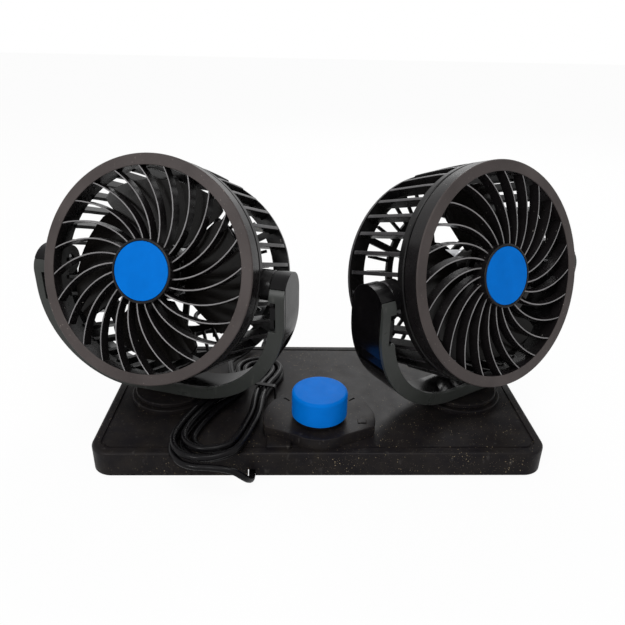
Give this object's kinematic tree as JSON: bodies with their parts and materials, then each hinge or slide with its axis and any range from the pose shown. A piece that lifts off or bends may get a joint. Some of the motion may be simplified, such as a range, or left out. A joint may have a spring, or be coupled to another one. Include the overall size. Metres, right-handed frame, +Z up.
{
  "type": "twin-head cabin fan",
  "caption": "Twin caged fans on swivelling and tilting yokes over one flat base with a rotary speed knob, power lead in a hank and a coil, and a socket plug.",
  "frame": {"origin": "middle of the underside of the central adhesive pad, on the surface that the fan stands on", "axes": "+X to the right seen from the front, -Y towards the front, where the fans and the knob face, +Z up"},
  "size_m": [0.3279, 0.2231, 0.162],
  "materials": {
    "base_plastic": "black, fine satin sheen",
    "cage_plastic": "black, satin",
    "yoke_plastic": "black, polished",
    "bezel_plastic": "dark warm grey, matte",
    "blue_plastic": "bright blue, matte",
    "impeller_plastic": "black",
    "adhesive_foam": "foam with a tacky face",
    "screw_steel": "plated",
    "motor_steel": "zinc plated can",
    "ceramic": "off-white ceramic body",
    "cord_rubber": "soft black sheath",
    "plug_plastic": "black, moulded",
    "tip_brass": "plated contact"
  },
  "bodies": {
    "base": {"base_top_shell": "base_plastic", "base_bottom_cover": "base_plastic", "rotary_switch_body": "base_plastic", "centre_adhesive_pad": "adhesive_foam", "back_right_pad": "adhesive_foam", "back_left_pad": "adhesive_foam", "front_left_pad": "adhesive_foam", "front_right_pad": "adhesive_foam", "back_right_base_screw": "screw_steel", "back_left_base_screw": "screw_steel", "front_left_base_screw": "screw_steel", "front_right_base_screw": "screw_steel", "plug_front_contact": "screw_steel", "plug_back_contact": "screw_steel", "speed_resistor": "ceramic", "cord_near": "cord_rubber", "cord_hank": "cord_rubber", "cord_far": "cord_rubber", "cord_coil": "cord_rubber", "cord_tail": "cord_rubber", "cord_strain_relief": "cord_rubber", "plug_strain_relief": "cord_rubber", "hank_tie": "cord_rubber", "coil_tie": "cord_rubber", "plug_body": "plug_plastic", "plug_tip": "tip_brass"},
    "knob": {"speed_knob": "blue_plastic", "switch_shaft": "screw_steel"},
    "left_yoke": {"left_swivel_disc": "base_plastic", "left_swivel_washer": "screw_steel", "left_swivel_screw": "screw_steel", "left_yoke_body": "yoke_plastic", "left_yoke_cover": "bezel_plastic", "left_pivot_pin_l": "screw_steel", "left_pivot_pin_r": "screw_steel"},
    "left_head": {"left_front_grille": "bezel_plastic", "left_hub_badge": "blue_plastic", "left_rear_cage": "cage_plastic", "left_motor_can": "motor_steel", "left_motor_screw_l": "screw_steel", "left_motor_screw_r": "screw_steel"},
    "left_fan": {"left_impeller": "impeller_plastic", "left_motor_shaft": "screw_steel"},
    "right_yoke": {"right_swivel_disc": "base_plastic", "right_swivel_washer": "screw_steel", "right_swivel_screw": "screw_steel", "right_yoke_body": "yoke_plastic", "right_yoke_cover": "bezel_plastic", "right_pivot_pin_l": "screw_steel", "right_pivot_pin_r": "screw_steel"},
    "right_head": {"right_front_grille": "bezel_plastic", "right_hub_badge": "blue_plastic", "right_rear_cage": "cage_plastic", "right_motor_can": "motor_steel", "right_motor_screw_l": "screw_steel", "right_motor_screw_r": "screw_steel"},
    "right_fan": {"right_impeller": "impeller_plastic", "right_motor_shaft": "screw_steel"}
  },
  "joints": [
    {"name": "knob_turn", "type": "hinge", "parent": "base", "child": "knob", "pos_m": [0, -0.037, 0.0256], "axis": [0, 0, 1], "range_deg": [-45, 45]},
    {"name": "left_yaw", "type": "hinge", "parent": "base", "child": "left_yoke", "pos_m": [-0.0894, -0.0008, 0.02], "axis": [0, 0, 1], "range_deg": [-127.5, 162.5]},
    {"name": "left_tilt", "type": "hinge", "parent": "left_yoke", "child": "left_head", "pos_m": [-0.0894, -0.0008, 0.0969], "axis": [-0.9537, 0.3007, 0], "range_deg": [-50, 8]},
    {"name": "left_fan_spin", "type": "hinge", "parent": "left_head", "child": "left_fan", "pos_m": [-0.0894, -0.0008, 0.0969], "axis": [-0.2826, -0.8962, 0.342], "continuous": true},
    {"name": "right_yaw", "type": "hinge", "parent": "base", "child": "right_yoke", "pos_m": [0.0894, -0.0008, 0.02], "axis": [0, 0, 1], "range_deg": [-176, 114]},
    {"name": "right_tilt", "type": "hinge", "parent": "right_yoke", "child": "right_head", "pos_m": [0.0894, -0.0008, 0.0969], "axis": [-0.8572, -0.515, 0], "range_deg": [-46.2, 11.8]},
    {"name": "right_fan_spin", "type": "hinge", "parent": "right_head", "child": "right_fan", "pos_m": [0.0894, -0.0008, 0.0969], "axis": [0.4946, -0.8231, 0.279], "continuous": true}
  ]
}
